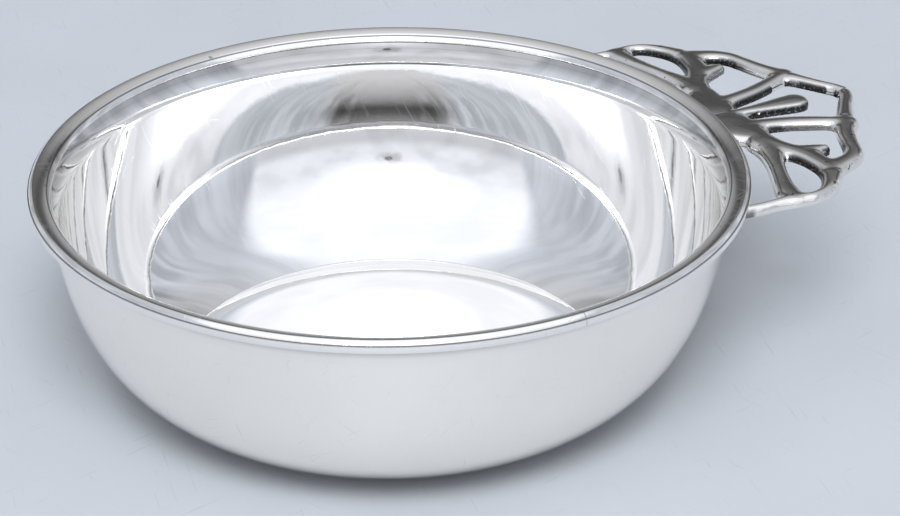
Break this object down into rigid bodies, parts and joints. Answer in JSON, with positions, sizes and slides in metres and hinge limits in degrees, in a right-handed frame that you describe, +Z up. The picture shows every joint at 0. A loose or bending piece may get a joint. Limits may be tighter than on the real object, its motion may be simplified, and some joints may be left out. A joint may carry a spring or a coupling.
{
  "type": "porringer",
  "caption": "Shallow round silver bowl with a flaring moulded rim and one flat pierced openwork handle at its side, for serving and eating soft food.",
  "frame": {"origin": "centre of the base's underside, on the table", "axes": "+Z up along the bowl's axis, +X from the bowl's centre along the middle of the handle"},
  "size_m": [0.149, 0.12, 0.0382],
  "materials": {
    "bowl_silver": "polished sheet silver with fine scratches",
    "rim_silver": "polished drawn silver with small nicks",
    "handle_silver": "polished cast silver, darker and rougher in the piercings"
  },
  "bodies": {
    "root": {"bowl": "bowl_silver", "rim_moulding": "rim_silver", "handle": "handle_silver"}
  },
  "joints": []
}
